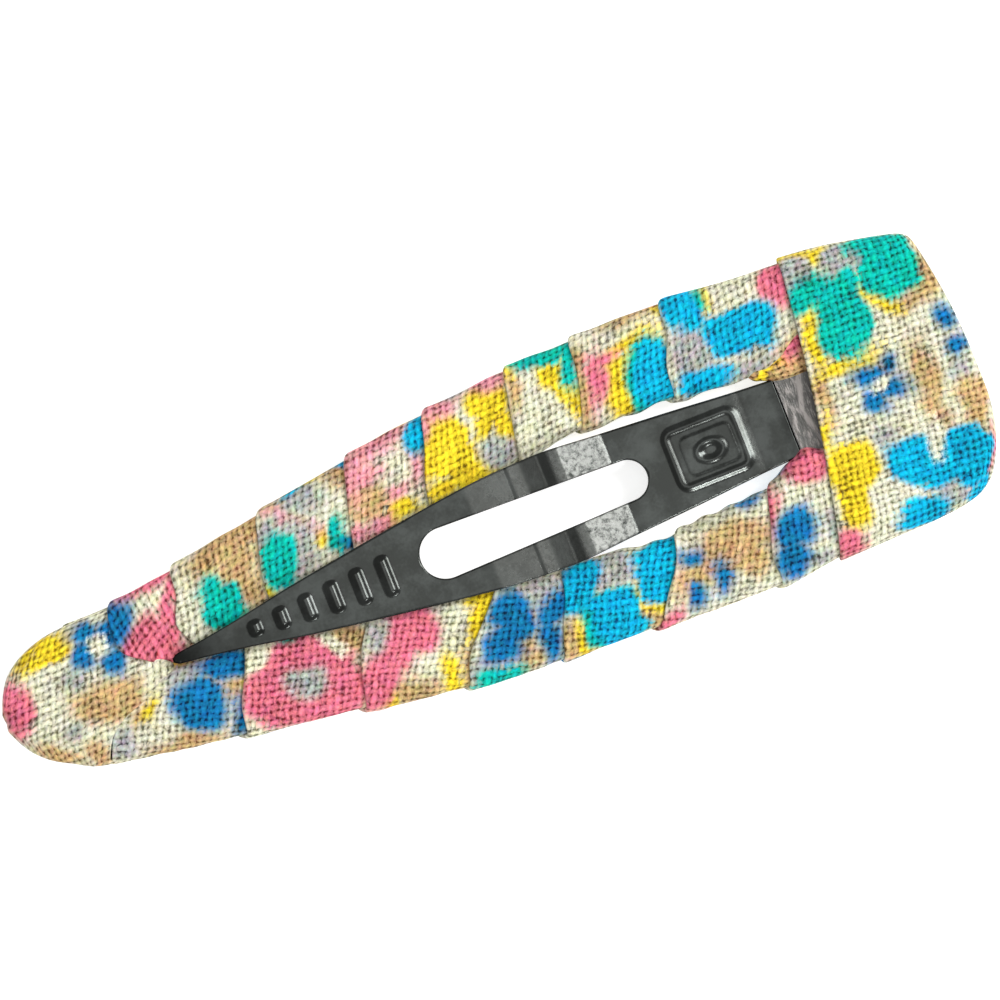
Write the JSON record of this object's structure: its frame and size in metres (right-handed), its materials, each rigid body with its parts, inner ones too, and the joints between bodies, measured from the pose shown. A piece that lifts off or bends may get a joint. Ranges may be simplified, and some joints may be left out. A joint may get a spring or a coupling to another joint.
{
  "type": "snap hair clip",
  "caption": "Sprung steel snap hair clip with a slotted centre tongue; both legs are wound with printed cotton and both ends are covered with it.",
  "frame": {"origin": "under the middle of the clip's length and width, on the surface that it lies on", "axes": "+X to the wide end, +Y to the upper leg, +Z to the back face that carries the tongue"},
  "size_m": [0.06, 0.0184, 0.005],
  "materials": {
    "gunmetal_steel": "dark plated spring steel, satin, with rubbed edges and light scratches",
    "printed_cotton": "open plain weave cotton, cream with a bright floral print"
  },
  "bodies": {
    "frame": {"steel_frame": "gunmetal_steel", "upper_leg_wrap": "printed_cotton", "lower_leg_wrap": "printed_cotton", "tip_cover": "printed_cotton", "end_cover": "printed_cotton"},
    "tongue": {"tongue": "gunmetal_steel"}
  },
  "joints": [
    {"name": "tongue_flex", "type": "hinge", "parent": "frame", "child": "tongue", "pos_m": [0.01836, 0, 0.00161], "axis": [0, 1, 0], "range_deg": [0, 20]}
  ]
}
